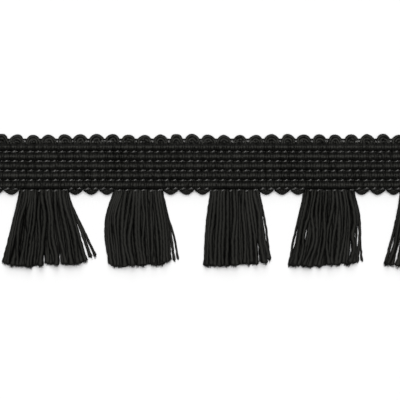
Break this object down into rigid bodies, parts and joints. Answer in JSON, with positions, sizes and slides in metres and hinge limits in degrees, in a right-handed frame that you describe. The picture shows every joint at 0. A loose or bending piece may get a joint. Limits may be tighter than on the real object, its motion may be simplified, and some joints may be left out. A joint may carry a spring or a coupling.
{
  "type": "tassel fringe trim",
  "caption": "Narrow furnishing trim: a ribbed, scalloped heading with flat tassels of cut yarn hanging from its lower edge.",
  "frame": {"origin": "on the surface the trim lies on, in the middle of its length and of its whole height", "axes": "+X along the trim, +Y from the tassels to the scalloped upper edge, +Z out of its face"},
  "size_m": [0.183, 0.0516, 0.0032],
  "materials": {
    "heading_yarn": "matte black yarn with shiny black rows of chain stitch",
    "tassel_yarn": "matte black two-ply cut yarn"
  },
  "bodies": {
    "root": {"heading": "heading_yarn", "tassel_1": "tassel_yarn", "tassel_2": "tassel_yarn", "tassel_3": "tassel_yarn", "tassel_4": "tassel_yarn", "tassel_5": "tassel_yarn"}
  },
  "joints": []
}
